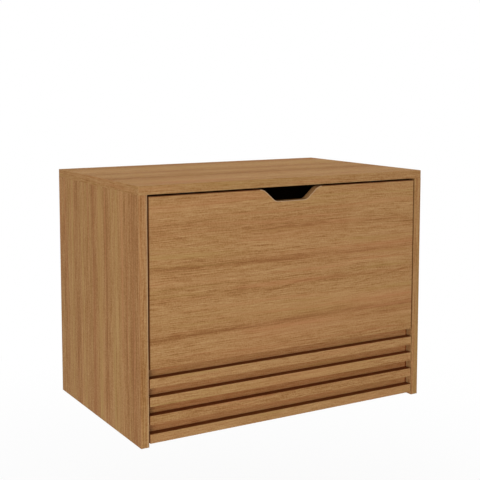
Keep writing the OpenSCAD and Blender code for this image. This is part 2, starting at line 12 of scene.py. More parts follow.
import bpy
import numpy as np
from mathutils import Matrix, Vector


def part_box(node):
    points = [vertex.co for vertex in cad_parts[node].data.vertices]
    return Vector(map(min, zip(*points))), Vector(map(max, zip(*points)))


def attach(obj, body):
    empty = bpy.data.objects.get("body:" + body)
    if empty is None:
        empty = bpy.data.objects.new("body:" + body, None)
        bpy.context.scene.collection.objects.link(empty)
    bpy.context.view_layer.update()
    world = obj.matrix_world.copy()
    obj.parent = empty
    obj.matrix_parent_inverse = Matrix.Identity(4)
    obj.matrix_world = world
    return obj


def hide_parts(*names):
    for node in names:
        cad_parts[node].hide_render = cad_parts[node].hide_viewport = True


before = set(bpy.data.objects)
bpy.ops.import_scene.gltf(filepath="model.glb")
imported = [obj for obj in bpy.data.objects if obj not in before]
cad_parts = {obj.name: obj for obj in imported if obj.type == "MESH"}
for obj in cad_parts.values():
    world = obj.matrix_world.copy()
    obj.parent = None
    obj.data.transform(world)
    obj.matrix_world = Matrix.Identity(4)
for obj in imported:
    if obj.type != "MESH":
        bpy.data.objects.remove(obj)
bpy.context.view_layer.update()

LOG = logging.getLogger("cabinet")

MM = 0.001
LEAST_RADIUS = 0.02 * MM
GRAIN_MAP = "grain"
# The mesh attribute of the painted highlight: a pale line along some arrises.
PAINTED_HIGHLIGHT = "arris"
# The mesh attribute of painted shade: how much a point's edge band or rim is darkened by its tint,
# for the shade in the gaps and on the recess floors.
PAINTED_SHADE = "painted_shade"

Colour = tuple[float, float, float]
Value = Any


def paint(red: float, green: float, blue: float) -> Colour:
    """The linear colour of an sRGB one of 0 to 255: a straight foot, then a power of 2.4."""
    shares = (red / 255.0, green / 255.0, blue / 255.0)
    return tuple(s / 12.92 if s <= 0.04045 else ((s + 0.055) / 1.055) ** 2.4 for s in shares)


# Shader maths


class Field:
    """A value that varies over a surface: one socket of a node tree, with arithmetic."""

    def __init__(self, graph: "Graph", socket: bpy.types.NodeSocket) -> None:
        """Keeps the graph that the socket is in, and the socket."""
        self.graph = graph
        self.socket = socket

    def _math(self, operation: str, *values: Value, clamp: bool = False) -> "Field":
        """One Math node on numbers or fields; clamp holds the result between 0 and 1."""
        settings = {"operation": operation, "use_clamp": clamp}
        return self.graph.node("ShaderNodeMath", settings, dict(enumerate(values)))

    def __add__(self, other: Value) -> "Field":
        """self + other."""
        return self._math("ADD", self, other)

    __radd__ = __add__

    def __sub__(self, other: Value) -> "Field":
        """self - other."""
        return self._math("SUBTRACT", self, other)

    def __rsub__(self, other: Value) -> "Field":
        """other - self."""
        return self._math("SUBTRACT", other, self)

    def __mul__(self, other: Value) -> "Field":
        """self * other."""
        return self._math("MULTIPLY", self, other)

    __rmul__ = __mul__

    def __pow__(self, exponent: Value) -> "Field":
        """self to the power of exponent."""
        return self._math("POWER", self, exponent)

    def __abs__(self) -> "Field":
        """self without its sign."""
        return self._math("ABSOLUTE", self)

    def held(self) -> "Field":
        """self, held between 0 and 1."""
        return self._math("ADD", self, 0.0, clamp=True)

    def step(self, low: float, high: float, smooth: bool = True) -> "Field":
        """A rise from 0 to 1, or a fall where low is the larger.

        Args:
            low: Where the result is 0.
            high: Where the result is 1.
            smooth: Whether the rise has an S shape.

        Returns:
            The share of the way from low to high, held between 0 and 1.
        """
        settings = {"interpolation_type": "SMOOTHSTEP" if smooth else "LINEAR"}
        if low > high:
            return 1.0 - self.step(high, low, smooth)
        ends = {"Value": self, "From Min": low, "From Max": high}
        return self.graph.node("ShaderNodeMapRange", settings, ends)


class Graph:
    """The node tree of a material or a world, which it empties first."""

    def __init__(self, owner: bpy.types.Material | bpy.types.World) -> None:
        """Empties the owner's tree and keeps it."""
        owner.use_nodes = True
        self.tree = owner.node_tree
        self.tree.nodes.clear()

    def node(self, kind: str, settings: dict[str, Any] | None = None,
             values: dict[str | int, Value] | None = None, output: str | None = None) -> Field:
        """Adds a node: settings first, then the values or links of its sockets.

        Args:
            kind: The node's type.
            settings: Its properties; "stops" are a ramp's (place, colour) pairs.
            values: Numbers, colours or fields by the socket's name or number.
            output: The output's name, or None for the first one in use.

        Returns:
            The chosen output.
        """
        node = self.tree.nodes.new(kind)
        for key, value in (settings or {}).items():
            if key == "stops":
                self._set_stops(node.color_ramp, value)
            else:
                setattr(node, key, value)
        for key, value in (values or {}).items():
            self._set_input(self._socket(node.inputs, key), value)
        return Field(self, self._socket(node.outputs, output))

    @staticmethod
    def _set_stops(ramp: bpy.types.ColorRamp, stops: Sequence[tuple[float, Colour]]) -> None:
        """Gives a ramp its stops, in place of the two that it comes with.

        Args:
            ramp: The ramp.
            stops: Pairs of a place from 0 to 1 and a linear colour.
        """
        while len(ramp.elements) < len(stops):
            ramp.elements.new(1.0)
        for element, (place, colour) in zip(ramp.elements, stops):
            element.position = place
            element.color = (*colour, 1.0)

    @staticmethod
    def _socket(sockets: Any, key: str | int | None) -> bpy.types.NodeSocket:
        """The socket of that number, or the first one in use, of that name if there is one."""
        used = (s for s in sockets if s.enabled and key in (None, s.name))
        return sockets[key] if isinstance(key, int) else next(used)

    def _set_input(self, socket: bpy.types.NodeSocket, value: Value) -> None:
        """Links a field to an input, or sets the input's own value.

        Args:
            socket: The input.
            value: A field, a number, or a colour or vector.
        """
        if isinstance(value, Field):
            self.tree.links.new(value.socket, socket)
        elif isinstance(value, tuple) and socket.type == "RGBA":
            socket.default_value = (*value, 1.0)
        else:
            socket.default_value = value

    def parts(self, vector: Field) -> list[Field]:
        """A vector's X, Y and Z."""
        split = self.node("ShaderNodeSeparateXYZ", None, {"Vector": vector}).socket.node
        return [Field(self, socket) for socket in split.outputs]

    def place(self) -> Field:
        """The point on the object, in metres."""
        return self.node("ShaderNodeTexCoord", None, None, "Object")

    def stretched(self, clouds: tuple[float, float, float]) -> Field:
        """The point on the object, for noise of so many clouds a metre along X, Y and Z."""
        values = {0: self.place(), 1: clouds}
        return self.node("ShaderNodeVectorMath", {"operation": "MULTIPLY"}, values)

    def attribute(self, name: str) -> Field:
        """A number that the mesh carries under that name, 0 where it has none."""
        return self.node("ShaderNodeAttribute", {"attribute_name": name}, None, "Fac")

    def noise(self, vector: Field, scale: float = 1.0, detail: float = 0.0) -> Field:
        """Cloudy noise about 0, of that many clouds a unit, with finer layers by the detail."""
        values = {"Vector": vector, "Scale": scale, "Detail": detail}
        return self.node("ShaderNodeTexNoise", {"noise_dimensions": "3D"}, values, "Fac") - 0.5

    def blend(self, first: Value, second: Value, share: Value, way: str = "MIX") -> Field:
        """Mixes the second colour into the first one by its share, or tints it by MULTIPLY."""
        settings = {"data_type": "RGBA", "blend_type": way, "clamp_factor": True}
        return self.node("ShaderNodeMix", settings, {"Factor": share, "A": first, "B": second})

    def tinted(self, colour: Value, tint: Value, share: Value) -> Field:
        """A colour times a tint, channel by channel, by the share that the tint counts."""
        return self.blend(colour, tint, share, "MULTIPLY")

    def bump(self, height: Field, distance: float, strength: float = 1.0) -> Field:
        """A normal that follows a height, which stands for distance metres where it is 1."""
        values = {"Height": height, "Distance": distance, "Strength": strength}
        return self.node("ShaderNodeBump", None, values)

    def surface(self, **values: Value) -> None:
        """Ends a material in a Principled shader, its sockets named with _ for a space."""
        shader = self.node("ShaderNodeBsdfPrincipled", None,
                           {key.replace("_", " "): value for key, value in values.items()})
        self.node_output("ShaderNodeOutputMaterial", shader)

    def node_output(self, kind: str, shader: Field) -> None:
        """Adds the tree's output and links the shader to it."""
        output = self.tree.nodes.new(kind)
        self.tree.links.new(shader.socket, output.inputs["Surface"])


# Finishes


@dataclass(frozen=True)
class Finish:
    """A finish: its material's name, and a node tree that each kind fills in its own way."""

    name: str

    def fill(self, graph: Graph) -> None:
        """Fills the material's node tree."""
        raise NotImplementedError

    def material(self) -> bpy.types.Material:
        """Makes a material of its own for one piece."""
        made = bpy.data.materials.new(self.name)
        self.fill(Graph(made))
        return made

    @cache
    def shared(self) -> bpy.types.Material:
        """The one material that the CAD nodes of this finish share."""
        return self.material()


class GrainFrom(Enum):
    """Where a board's grain is read from."""

    SHEET = "the grain map on its faces and edge bands"
    SOLID = "the point on the object, the grain along X"


@dataclass(frozen=True)
class Streak:
    """A streak or band of the print that lies along the grain, in metres of the sheet.

    Its middle line rises by rise and bows by bow from its centre to its end. Its colour drifts to
    plum, or to olive where plum is negative.
    """

    along: float
    across: float
    half_length: float
    half_width: float
    tone: float
    rise: float = 0.0
    bow: float = 0.0
    plum: float = 0.0

    SHARPNESS = 2.0
    FADES_FROM = 0.45

    def mask(self, graph: Graph, u: Field, v: Field) -> Field:
        """How much of the streak there is at a place.

        Across it falls off as 1 / (1 + d * d) to the power of its sharpness, with d in half
        widths, and along it fades over its last part.

        Args:
            graph: The material's graph.
            u: The place along the grain.
            v: The place across the grain, with its waves.

        Returns:
            The share, from 0 to 1.
        """
        run = (u - self.along) * (1.0 / self.half_length)
        line = run * (self.rise + self.bow * run) if self.rise or self.bow else 0.0
        off = (v - self.across - line) * (1.0 / self.half_width)
        body = (off * off + 1.0) ** -self.SHARPNESS
        return body * abs(run).step(1.0, self.FADES_FROM)


@dataclass(frozen=True)
class RecessShade:
    """The front of a board that lies at the bottom of a recess, painted with the recess's shade
    and reddish bounce light: tinted, with darker ends.
    """

    shade: Colour
    front: float
    half_width: float
    skin: float = 1 * MM
    depth: float = 12 * MM

    def tint(self, graph: Graph, colour: Field, painted_shade_tint: Colour) -> Field:
        """Paints the recess's shade and reddish bounce light on the front of the board, and
        painted shade on its two ends, in the gaps to the side panels.

        Args:
            graph: The material's graph.
            colour: The board's plain colour.
            painted_shade_tint: The tint of the painted shade at its ends.

        Returns:
            The colour with the shade and the dark ends.
        """
        x, y, _ = graph.parts(graph.place())
        ahead = y.step(self.front + self.depth, self.front + self.skin)
        end = abs(x).step(self.half_width, self.half_width + self.skin)
        return graph.tinted(graph.tinted(colour, self.shade, ahead), painted_shade_tint, end * ahead)


@dataclass(frozen=True)
class Layer:
    """Noise stretched along the grain: its clouds a metre along and across it, and its weight.

    Its shift and the board's seed set it apart from the other layers and boards.
    """

    along: float
    across: float
    shift: float
    detail: float = 0.0
    weight: float = 1.0

    def noise(self, graph: Graph, u: Field, v: Field, seed: float, fineness: float = 1.0) -> Field:
        """The noise at a place of the sheet, u metres along the grain and v across it."""
        where = {"X": u * (self.along * fineness), "Y": v * self.across, "Z": seed + self.shift}
        return graph.noise(graph.node("ShaderNodeCombineXYZ", None, where), detail=self.detail)


@dataclass(frozen=True)
class Oak(Finish):
    """The oak print of one board, with its edge bands."""

    seed: float
    grain_from: GrainFrom = GrainFrom.SHEET
    streaks: tuple[Streak, ...] = ()
    lift: float = 0.0
    contrast: float = 1.0
    fineness: float = 1.0
    waves: float = 1.0
    # The tint of the painted shade on the edge bands and rims, and at a recess board's ends.
    painted_shade_tint: Colour = (0.25, 0.12, 0.06)
    gloss: float = 0.04
    recess: RecessShade | None = None

    TONES = (
        (0.00, paint(131, 86, 48)),
        (0.25, paint(148, 106, 63)),
        (0.50, paint(163, 122, 79)),
        (0.75, paint(170, 131, 86)),
        (1.00, paint(180, 143, 98)),
    )
    OLIVE = paint(158, 128, 74)
    ROSE = paint(171, 117, 78)
    PLUM = paint(144, 99, 66)
    # The pale colour of the painted highlight along some arrises.
    HIGHLIGHT_COLOUR = paint(174, 149, 122)

    WAVES = (Layer(1.3, 7.0, 0.0, 1.0, 0.020), Layer(9.0, 34.0, 3.1, 1.0, 0.0048))
    BANDS = Layer(0.9, 22.0, 11.0, 1.0, 0.12)
    SMEARS = Layer(3.2, 95.0, 17.0, 1.0, 0.12)
    LINES = Layer(9.0, 230.0, 19.0, 1.0, 0.24)
    FIBRES = Layer(9.5, 680.0, 23.0, 2.0, 1.00)
    HAIRS = Layer(45.0, 1400.0, 29.0, 0.0, 1.20)
    PORES = Layer(70.0, 2100.0, 37.0, 0.0, -0.20)
    FLECKS = Layer(420.0, 330.0, 41.0, 1.0, 0.80)
    STRANDS = Layer(9.0, 520.0, 47.0, 2.0, 3.4)
    OLIVES = Layer(2.0, 12.0, 53.0, 1.0, 0.55)
    ROSES = Layer(2.3, 15.0, 57.0, 1.0, 0.50)
    TINTS = Layer(5.0, 110.0, 61.0, 1.0, 0.40)

    PORE_SPAN = (0.14, 0.24)
    DARK_SPAN = (0.10, 0.26)
    CLOUD_SPAN = (0.02, 0.34)
    TINT_SPAN = (0.04, 0.30)
    DARK_TONE = -0.05
    DARK_PLUM = 0.15
    PLUM_MOST = 0.8
    MIDDLE = 0.5
    ROUGHNESS = 0.62
    RELIEF = 0.12 * MM
    SLANT = 0.83

    def fill(self, graph: Graph) -> None:
        """Fills the tree with the print.

        The weighted sum of the layers is a tone that picks a colour from dark to light. The
        colour then drifts to olive, rose and plum, takes a painted highlight on some arrises,
        and takes painted shade on its edge bands and rims.

        Args:
            graph: The material's graph.
        """
        u, v = self._sheet_place(graph)
        wide, narrow = (wave.noise(graph, u, v, self.seed) * wave.weight for wave in self.WAVES)
        bent = v + (wide + narrow) * self.waves

        def read(layer: Layer) -> Field:
            """The layer's noise along the waving grain."""
            return layer.noise(graph, u, bent, self.seed, self.fineness)

        smears, fibres, hairs = read(self.SMEARS), read(self.FIBRES), read(self.HAIRS)
        pores = read(self.PORES).step(*self.PORE_SPAN)
        flecks = self.FLECKS.noise(graph, u, v, self.seed)
        dark = smears.step(*self.DARK_SPAN)
        tone = (read(self.BANDS) * self.BANDS.weight + smears * self.SMEARS.weight
                + read(self.LINES) * self.LINES.weight + fibres * self.FIBRES.weight
                + hairs * self.HAIRS.weight + pores * self.PORES.weight
                + flecks * self.FLECKS.weight + dark * self.DARK_TONE) * self.contrast

        tint = read(self.TINTS)
        start, full = self.TINT_SPAN
        olive: Value = (read(self.OLIVES).step(*self.CLOUD_SPAN) * self.OLIVES.weight
                        + tint.step(start, full) * self.TINTS.weight)
        rose = (read(self.ROSES).step(*self.CLOUD_SPAN) * self.ROSES.weight
                + tint.step(-start, -full) * self.TINTS.weight)
        plum: Value = dark * self.DARK_PLUM
        if self.streaks:
            strands = read(self.STRANDS) * self.STRANDS.weight
            texture = (strands + 1.0).step(0.0, 2.0, smooth=False) * 2.0
            for streak in self.streaks:
                there = streak.mask(graph, u, bent) * texture
                tone = tone + there * streak.tone
                if streak.plum > 0.0:
                    plum = plum + there * streak.plum
                elif streak.plum < 0.0:
                    olive = olive - there * streak.plum

        place = (tone + (self.MIDDLE + self.lift)).held()
        colour = graph.node("ShaderNodeValToRGB", {"stops": self.TONES}, {"Fac": place})
        colour = graph.blend(colour, self.OLIVE, olive)
        colour = graph.blend(colour, self.ROSE, rose)
        colour = graph.blend(colour, self.PLUM, plum.held() * self.PLUM_MOST)
        # Painted highlight on some arrises, then painted shade on the edge bands and rims by their
        # tint.
        if self.grain_from is GrainFrom.SHEET:
            painted_highlight = graph.attribute(PAINTED_HIGHLIGHT) * (fibres * 1.2 + 0.85)
            colour = graph.blend(colour, self.HIGHLIGHT_COLOUR, painted_highlight)
            colour = graph.tinted(colour, self.painted_shade_tint, graph.attribute(PAINTED_SHADE))
        # Painted shade and reddish bounce light on the front of a recess board.
        if self.recess:
            colour = self.recess.tint(graph, colour, self.painted_shade_tint)

        relief = hairs * 0.45 + fibres * 0.5 - pores * 0.8 + self.MIDDLE
        graph.surface(
            Base_Color=colour,
            Roughness=(fibres * 0.16 + pores * 0.12 + self.ROUGHNESS).held(),
            Specular_IOR_Level=self.gloss,
            Normal=graph.bump(relief.held(), self.RELIEF, 0.7),
        )

    def _sheet_place(self, graph: Graph) -> Sequence[Field]:
        """Where a point lies along and across the grain.

        On a solid board the place across is its height plus a share of its depth, so that the
        print differs from face to face.

        Args:
            graph: The material's graph.

        Returns:
            The metres along and across the grain.
        """
        if self.grain_from is GrainFrom.SHEET:
            return graph.parts(graph.node("ShaderNodeUVMap", {"uv_map": GRAIN_MAP}))[:2]
        x, y, z = graph.parts(graph.place())
        return x, z + y * self.SLANT


@dataclass(frozen=True)
class Metal(Finish):
    """A metal part: its colour, how it is brushed along X, Y and Z, and its mottling."""

    colour: Colour
    worn: Colour
    roughness: float
    brush: tuple[float, float, float] = (900.0, 900.0, 900.0)
    clouds: float = 160.0
    relief: float = 0.00002

    def fill(self, graph: Graph) -> None:
        """Fills the tree: brush lines in the roughness and relief, clouds in the colour.

        Args:
            graph: The material's graph.
        """
        lines = graph.noise(graph.stretched(self.brush), detail=2.0)
        mottle = graph.noise(graph.place(), self.clouds, 3.0)
        graph.surface(
            Base_Color=graph.blend(self.worn, self.colour, mottle * 0.8 + lines * 0.9 + 0.5),
            Metallic=0.95,
            Roughness=(lines * 0.22 + mottle * 0.10 + self.roughness).held(),
            Normal=graph.bump((lines + 0.5).held(), self.relief),
        )


@dataclass(frozen=True)
class Moulded(Finish):
    """A moulded plastic part with a fine matt skin."""

    colour: Colour
    dull: Colour
    roughness: float

    def fill(self, graph: Graph) -> None:
        """Fills the tree: a pebbled skin, and slow flow marks in the colour.

        Args:
            graph: The material's graph.
        """
        skin = graph.noise(graph.place(), 2600.0, 1.0)
        flow = graph.noise(graph.place(), 90.0, 2.0)
        graph.surface(
            Base_Color=graph.blend(self.dull, self.colour, flow * 2.0 + skin * 0.6 + 0.5),
            Roughness=(skin * 0.20 + flow * 0.15 + self.roughness).held(),
            Normal=graph.bump((skin + 0.5).held(), 0.00003),
        )


@dataclass(frozen=True)
class Pressed(Finish):
    """A pressed or sintered material: flakes or fibres of two colours, with a fine relief."""

    light: Colour
    dark: Colour
    stretch: tuple[float, float, float]
    roughness: float
    relief: float = 0.00006

    def fill(self, graph: Graph) -> None:
        """Fills the tree: fibres that lie along and across it, and slow clouds.

        Args:
            graph: The material's graph.
        """
        fibres = graph.noise(graph.stretched(self.stretch), detail=2.0)
        crossing = graph.noise(graph.stretched(self.stretch[::-1]), detail=2.0)
        clouds = graph.noise(graph.place(), 16.0, 2.0)
        share = (fibres * 1.1 + crossing * 1.1 + clouds * 0.25 + 0.5).held()
        graph.surface(
            Base_Color=graph.blend(self.dark, self.light, share),
            Roughness=(fibres * 0.2 + self.roughness).held(),
            Specular_IOR_Level=0.35,
            Normal=graph.bump(share, self.relief),
        )


# The dark and light bands and arcs that each board's print has of its own
FRONT_STREAKS = (
    Streak(0.0, 0.404, 0.6, 0.01, 0.1),
    Streak(0.02, 0.362, 0.5, 0.018, -0.12, plum=0.05),
    Streak(0.0, 0.353, 0.08, 0.003, -0.16, plum=0.08),
    Streak(0.18, 0.353, 0.12, 0.0028, -0.16, plum=0.08),
    Streak(0.0, 0.328, 0.6, 0.01, 0.1),
    Streak(0.0, 0.304, 0.8, 0.006, -0.2, rise=0.002, plum=0.1),
    Streak(-0.1, 0.302, 0.22, 0.0018, -0.26, rise=-0.003, bow=0.002),
    Streak(0.1, 0.3, 0.2, 0.002, -0.28, rise=0.001, bow=-0.003, plum=0.06),
    Streak(0.0, 0.281, 0.6, 0.0065, 0.12),
    Streak(-0.19, 0.271, 0.1, 0.0014, -0.2),
    Streak(0.0, 0.257, 0.6, 0.012, -0.08),
    Streak(-0.01, 0.253, 0.06, 0.0018, -0.26, rise=0.009, plum=0.05),
    Streak(0.07, 0.259, 0.09, 0.0018, -0.24, bow=-0.003, plum=0.05),
    Streak(0.22, 0.253, 0.07, 0.002, -0.26, rise=0.01, plum=0.05),
    Streak(0.0, 0.22, 0.6, 0.016, 0.12, plum=-0.1),
    Streak(-0.14, 0.186, 0.25, 0.007, -0.2, rise=0.002, bow=-0.003, plum=0.12),
    Streak(-0.2, 0.184, 0.14, 0.0018, -0.26, rise=0.002, bow=-0.002),
    Streak(0.15, 0.189, 0.24, 0.007, -0.2, rise=-0.001, bow=0.004, plum=0.12),
    Streak(0.12, 0.187, 0.18, 0.0018, -0.26, rise=0.002, bow=0.003),
    Streak(0.08, 0.198, 0.11, 0.0018, -0.22, rise=0.003, bow=0.003, plum=0.05),
    Streak(0.0, 0.164, 0.6, 0.008, 0.1),
    Streak(0.0, 0.141, 0.6, 0.006, -0.12, plum=0.05),
    Streak(0.24, 0.366, 0.16, 0.02, 0.2),
    Streak(-0.22, 0.218, 0.14, 0.02, -0.12),
    Streak(0.24, 0.18, 0.16, 0.012, -0.14, plum=0.05),
)

SIDE_STREAKS = (
    Streak(0.2, 0.095, 0.6, 0.013, -0.3, rise=0.003, plum=0.12),
    Streak(0.2, 0.013, 0.6, 0.011, -0.32, rise=-0.001, plum=0.12),
    Streak(0.2, -0.05, 0.6, 0.01, -0.25, rise=0.002, plum=0.1),
    Streak(0.2, 0.049, 0.6, 0.005, -0.18),
    Streak(0.2, 0.161, 0.6, 0.008, -0.08),
    Streak(0.2, -0.019, 0.6, 0.011, 0.18, plum=-0.5),
    Streak(0.2, -0.095, 0.6, 0.02, 0.14, plum=-0.25),
    Streak(0.2, 0.069, 0.6, 0.006, 0.12, plum=-0.2),
    Streak(0.2, 0.125, 0.6, 0.012, 0.1, plum=-0.25),
    Streak(0.2, -0.165, 0.6, 0.022, -0.16, plum=0.15),
)

TOP_STREAKS = (
    Streak(0.0, -0.056, 0.9, 0.022, -0.34, rise=0.006),
    Streak(0.0, 0.035, 0.9, 0.009, -0.26, rise=-0.004, plum=0.15),
    Streak(0.0, 0.163, 0.9, 0.02, -0.3, plum=0.1),
    Streak(0.0, -0.128, 0.9, 0.024, 0.22),
    Streak(0.0, 0.098, 0.9, 0.03, 0.18, rise=0.008),
    Streak(0.0, -0.004, 0.9, 0.01, 0.16),
)

RECESS_STREAKS = (Streak(0.0, -0.081, 0.6, 0.013, -0.26),)

# Painted shade: the dark red-brown tint of the slats' edge bands and the back board's ends, for
# the shade on the slat tops in the recesses and in the gaps.
SLAT_SHADE_TINT: Colour = (0.50, 0.20, 0.07)
SLAT_LIFTS = (0.04, -0.12, 0.06, 0.03)

OAK_FLAP = Oak("oak_flap_panel", 2.7, streaks=FRONT_STREAKS, contrast=0.95, fineness=0.8)
OAK_SIDE = Oak("oak_side_panel", 9.4, streaks=SIDE_STREAKS, lift=-0.08, contrast=1.26,
               fineness=0.4)
OAK_TOP = Oak("oak_top_panel", 16.3, streaks=TOP_STREAKS, lift=0.04, waves=0.3, gloss=0.01)
OAK_INSIDE = Oak("oak_inside", 23.8, GrainFrom.SOLID)
# The back board's front takes the recess's painted shade and reddish bounce light, with painted
# shade at its ends; its lift and shade are set to the recess floor's shaded colour.
OAK_RECESS = Oak("oak_back_board", 27.1, GrainFrom.SOLID, streaks=RECESS_STREAKS, lift=0.12,
                 painted_shade_tint=SLAT_SHADE_TINT, recess=RecessShade((0.99, 0.84, 0.77), -0.174, 0.2805))
OAK_SLATS = tuple(Oak(f"oak_slat_{i + 1}", 31.0 + 4.3 * i, lift=lift, painted_shade_tint=SLAT_SHADE_TINT)
                  for i, lift in enumerate(SLAT_LIFTS))

HARDBOARD = Pressed("hardboard", paint(154, 112, 74), paint(112, 76, 46),
                    (420.0, 900.0, 900.0), 0.55)
BEECH = Pressed("beech_dowel", paint(214, 178, 132), paint(188, 148, 104),
                (90.0, 900.0, 900.0), 0.60)
FERRITE = Pressed("ferrite", paint(72, 72, 74), paint(38, 38, 40), (1500.0, 1500.0, 1500.0), 0.55)
CAM_ZINC = Metal("cast_zinc", paint(178, 178, 176), paint(140, 140, 140), 0.48, clouds=420.0,
                 relief=0.00005)
PLATED = Metal("zinc_plated_steel", paint(206, 208, 212), paint(170, 172, 170), 0.32)
HINGE_STEEL = Metal("hinge_steel", paint(196, 196, 196), paint(160, 160, 160), 0.34,
                    brush=(60.0, 1600.0, 1600.0))
STAY_STEEL = Metal("stay_steel", paint(202, 204, 206), paint(168, 170, 172), 0.30,
                   brush=(1600.0, 160.0, 900.0))
RIVET_STEEL = Metal("rivet_steel", paint(190, 190, 188), paint(150, 150, 148), 0.28)
BROWN_PLASTIC = Moulded("brown_plastic", paint(128, 84, 50), paint(108, 68, 40), 0.42)
WHITE_NYLON = Moulded("white_nylon", paint(232, 231, 226), paint(214, 212, 205), 0.40)


# Shapes


class Facing(Enum):
    """How a board lies: the directions along, up and out of its show face, one a row."""

    FRONT = ((1, 0, 0), (0, 0, 1), (0, -1, 0))
    SIDE = ((0, 1, 0), (0, 0, 1), (1, 0, 0))
    TOP = ((1, 0, 0), (0, 1, 0), (0, 0, 1))

    def box(self, node: str) -> tuple[np.ndarray, np.ndarray]:
        """A CAD node's lowest and highest values along the three directions."""
        corners = np.array([list(corner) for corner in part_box(node)]) @ np.array(self.value).T
        return corners.min(axis=0), corners.max(axis=0)


def rounded_outline(corners: Sequence[tuple[float, float, float]], inset: float = 0.0,
                    steps: int = 6) -> tuple[np.ndarray, np.ndarray]:
    """A closed outline of straight sides that meet in arcs, drawn in by the inset.

    Places and directions are complex numbers, so a factor of -1j is a quarter turn to the right.
    The arc of a corner touches both of its sides. Its normal turns evenly from one side's normal
    to the other's, and its centre lies one radius behind both sides, or before them where the
    corner points inwards.

    Args:
        corners: Each corner's place and radius, anticlockwise.
        inset: How far inside the corners' own outline it lies.
        steps: How many straight pieces each arc has.

    Returns:
        The points, and the outward normals at them.
    """
    knots = np.array(corners, float)
    place, radius = knots[:, 0] + 1j * knots[:, 1], knots[:, 2]
    sides = np.roll(place, -1) - place
    leaving = -1j * sides / np.abs(sides)
    arriving = np.roll(leaving, 1)
    turn = np.angle(leaving / arriving)
    way = np.sign(turn)
    reach = way * np.maximum(radius - way * inset, LEAST_RADIUS)
    centres = place - (reach + inset) * (arriving + leaving) / (1.0 + np.cos(turn))
    normals = arriving[:, None] * np.exp(1j * np.outer(turn, np.linspace(0.0, 1.0, steps + 1)))
    points = centres[:, None] + reach[:, None] * normals
    return tuple(np.stack([part.real, part.imag], 2).reshape(-1, 2) for part in (points, normals))


def add_object(name: str, data: bpy.types.ID) -> bpy.types.Object:
    """Puts data into the scene as an object."""
    made = bpy.data.objects.new(name, data)
    bpy.context.scene.collection.objects.link(made)
    return made


def add_mesh(name: str, points: np.ndarray, normals: np.ndarray,
             faces: Iterable[Sequence[int]]) -> bpy.types.Object:
    """Adds a smooth piece of points, their normals and faces.

    Args:
        name: The piece's name.
        points: One point a row.
        normals: The outward normal at each point.
        faces: Point numbers, anticlockwise seen from outside.

    Returns:
        The piece, in the scene.
    """
    mesh = bpy.data.meshes.new(name)
    mesh.from_pydata(points.tolist(), [], [list(map(int, face)) for face in faces])
    mesh.polygons.foreach_set("use_smooth", np.ones(len(mesh.polygons), bool))
    mesh.update()
    mesh.normals_split_custom_set_from_vertices(normals.tolist())
    return add_object(name, mesh)


def ring_quads(rings: int, points: int) -> np.ndarray:
    """The quads between closed rings of points, numbered ring by ring.

    Args:
        rings: How many rings there are.
        points: How many points a ring has.

    Returns:
        Four point numbers a row.
    """
    ring = np.arange(rings - 1)[:, None] * points
    here = np.arange(points)[None, :]
    there = (here + 1) % points
    quads = np.stack([ring + here, ring + there, ring + points + there, ring + points + here], 2)
    return quads.reshape(-1, 4)


def fan(first: int, points: int, middle: int) -> np.ndarray:
    """The triangles from a ring, whose first point has that number, to a middle point."""
    here = np.arange(points)
    return np.stack([first + here, first + (here + 1) % points, np.full(points, middle)], 1)


def turned(out: Sequence[float], up: Sequence[float], sides: int) -> np.ndarray:
    """Turns a profile about Z.

    Args:
        out: The distances from Z of its points, the last of which is the middle.
        up: Their heights.
        sides: How many points a ring has.

    Returns:
        A ring of points for each point of the profile, and a single one for the middle.
    """
    angle = np.linspace(0.0, 2 * math.pi, sides, endpoint=False)
    heights = np.repeat(np.array(up)[:, None], sides, 1)
    rings = np.stack([np.outer(out, np.cos(angle)), np.outer(out, np.sin(angle)), heights], 2)
    return rings.reshape(-1, 3)[:(len(up) - 1) * sides + 1]


@dataclass(frozen=True)
class Profile:
    """The rings that carry a board's outline from its low face to its high one.

    Each ring has its normals' lean out of the board's plane, how far it is drawn in, its depth
    and the length that the print has run through the thickness.
    """

    lean: np.ndarray
    drawn_in: np.ndarray
    depth: np.ndarray
    through: np.ndarray


@dataclass(frozen=True)
class Rim:
    """A narrow strip beside the high face's arris with a painted highlight or painted shade.

    It lies on the face or on the edge band, on all sides or those that face its way.
    """

    kind: str
    strength: float
    on_face: bool = True
    way: tuple[float, float] | None = None

    LEAST_COSINE = 0.6

    def values(self, rings: int, halfway: int, normals: np.ndarray) -> np.ndarray:
        """How strong it is at each point of a board.

        Args:
            rings: How many rings the board has, the second half of them at its high face.
            halfway: Which of the high face's rings lies half way round the arris.
            normals: The outline's outward normals.

        Returns:
            The strength, with one row a ring.
        """
        number = np.arange(rings) - rings // 2
        on_face = (number >= halfway) & (number < number.max())
        on_band = (number <= halfway) & (number > 0)
        cosine = np.ones(len(normals)) if self.way is None else normals @ np.array(self.way)
        strips = np.outer(on_face if self.on_face else on_band, cosine > self.LEAST_COSINE)
        return strips * self.strength


